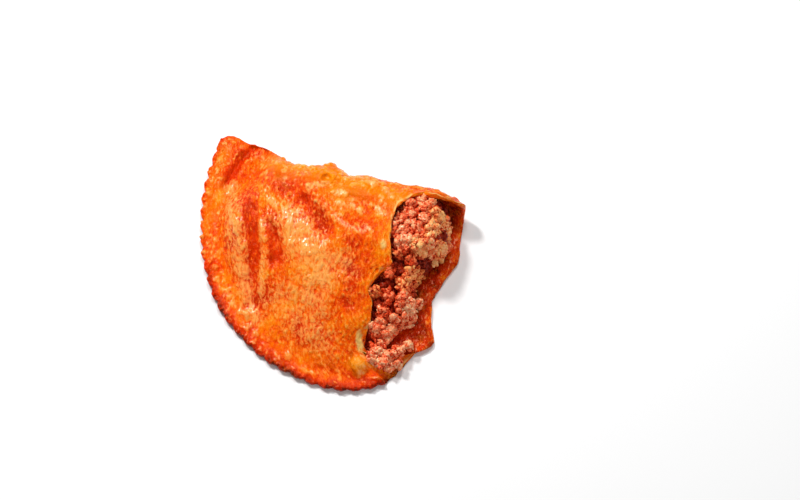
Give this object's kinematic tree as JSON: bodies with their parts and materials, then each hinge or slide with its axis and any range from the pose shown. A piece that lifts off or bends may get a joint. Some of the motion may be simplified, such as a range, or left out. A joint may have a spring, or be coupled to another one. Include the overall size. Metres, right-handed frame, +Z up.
{
  "type": "cheburek",
  "caption": "Half-moon of fried dough with a scalloped sealed rim, torn open at one end, with minced meat filling its pocket and spilling from the mouth.",
  "frame": {"origin": "centre of the bounding box at the underside, on the surface it lies on", "axes": "+X along the straight fold from the whole corner to the torn end, -Y toward the scalloped rim, +Z up"},
  "size_m": [0.1496, 0.126, 0.0284],
  "materials": {
    "fried_dough": "fried golden orange crust, oily and blistered",
    "minced_meat": "cooked minced meat, moist"
  },
  "bodies": {
    "root": {"dough": "fried_dough", "filling": "minced_meat"}
  },
  "joints": []
}
